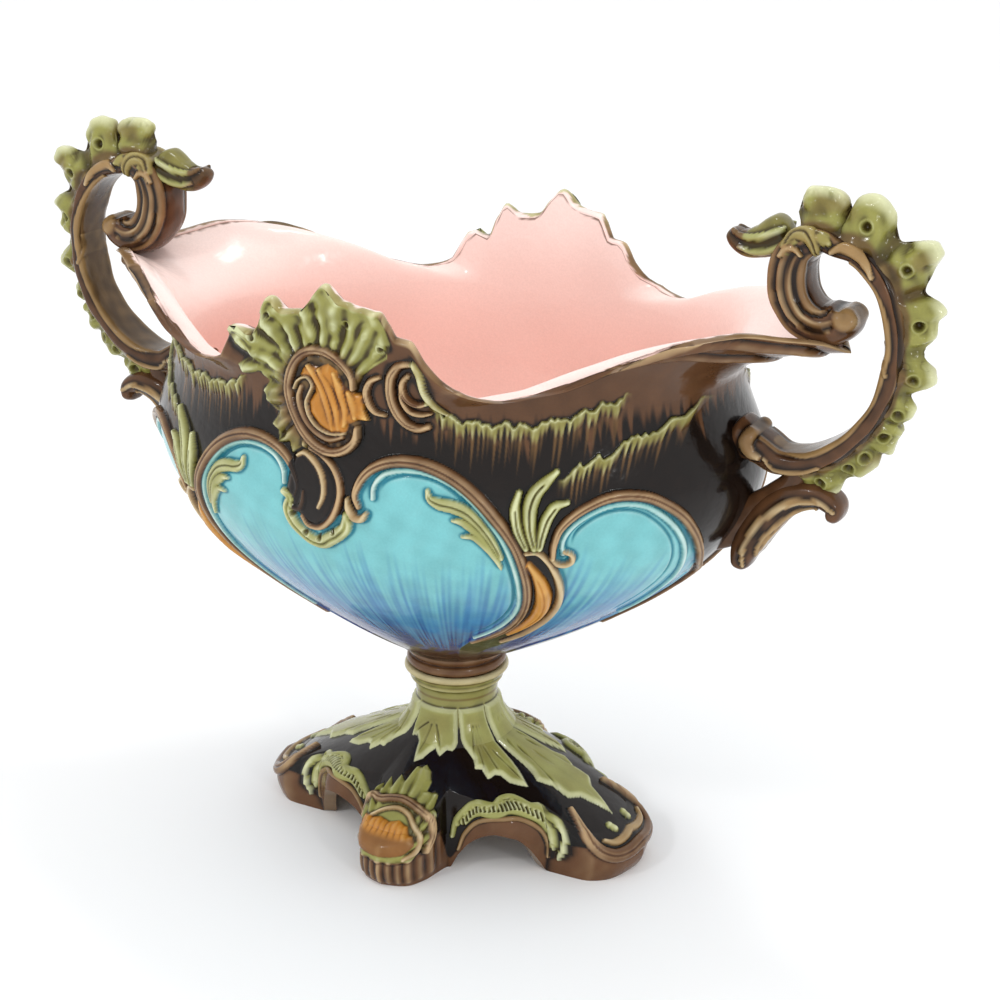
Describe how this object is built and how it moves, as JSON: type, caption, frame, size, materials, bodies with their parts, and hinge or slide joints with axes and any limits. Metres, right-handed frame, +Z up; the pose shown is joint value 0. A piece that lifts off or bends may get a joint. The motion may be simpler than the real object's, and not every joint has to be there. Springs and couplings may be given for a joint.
{
  "type": "footed ceramic jardiniere",
  "caption": "Oval glazed ceramic jardiniere with a toothed, waved rim and scroll handles, on a four-footed openwork stand.",
  "frame": {"origin": "on the ground, under the stand's axis", "axes": "+X through the right-hand handle, -Y towards the front crest, +Z up"},
  "size_m": [0.5222, 0.2656, 0.3838],
  "materials": {
    "bowl_glaze": "gloss near-black brown with turquoise to navy panels, pink inside",
    "stand_glaze": "gloss near-black brown",
    "brown_glaze": "gloss brown, thin tan where it breaks over edges",
    "green_glaze": "gloss pale green with darker olive in the hollows",
    "amber_glaze": "gloss amber to dark brown",
    "brass": "satin",
    "cork_rubber": "matte"
  },
  "bodies": {
    "root": {"back_cartouche_boss": "amber_glaze", "back_cartouche_scroll": "brown_glaze", "back_cartouche_shell": "green_glaze", "back_foot_boss": "amber_glaze", "back_foot_shell": "green_glaze", "back_left_amber_drop": "amber_glaze", "back_left_arch_ruffle": "green_glaze", "back_left_end_frame": "brown_glaze", "back_left_lobe_frame": "brown_glaze", "back_left_palmette": "green_glaze", "back_left_rim_moulding": "brown_glaze", "back_pendant": "green_glaze", "back_right_amber_drop": "amber_glaze", "back_right_arch_ruffle": "green_glaze", "back_right_end_frame": "brown_glaze", "back_right_lobe_frame": "brown_glaze", "back_right_palmette": "green_glaze", "back_right_rim_moulding": "brown_glaze", "back_side_scroll": "brown_glaze", "bowl_body": "bowl_glaze", "cap_nut": "brass", "floor_gasket": "cork_rubber", "floor_washer": "brass", "front_cartouche_boss": "amber_glaze", "front_cartouche_scroll": "brown_glaze", "front_cartouche_shell": "green_glaze", "front_foot_boss": "amber_glaze", "front_foot_shell": "green_glaze", "front_left_amber_drop": "amber_glaze", "front_left_arch_ruffle": "green_glaze", "front_left_end_frame": "brown_glaze", "front_left_lobe_frame": "brown_glaze", "front_left_palmette": "green_glaze", "front_left_rim_moulding": "brown_glaze", "front_pendant": "green_glaze", "front_right_amber_drop": "amber_glaze", "front_right_arch_ruffle": "green_glaze", "front_right_end_frame": "brown_glaze", "front_right_lobe_frame": "brown_glaze", "front_right_palmette": "green_glaze", "front_right_rim_moulding": "brown_glaze", "front_side_scroll": "brown_glaze", "joint_gasket": "cork_rubber", "left_handle_beak_leaf": "brown_glaze", "left_handle_bracket": "brown_glaze", "left_handle_crest": "green_glaze", "left_handle_scroll": "brown_glaze", "right_handle_beak_leaf": "brown_glaze", "right_handle_bracket": "brown_glaze", "right_handle_crest": "green_glaze", "right_handle_scroll": "brown_glaze", "stand_body": "stand_glaze", "stem_gasket": "cork_rubber", "stem_leaves": "green_glaze", "stem_nut": "brass", "stem_washer": "brass", "tie_rod": "brass"}
  },
  "joints": []
}
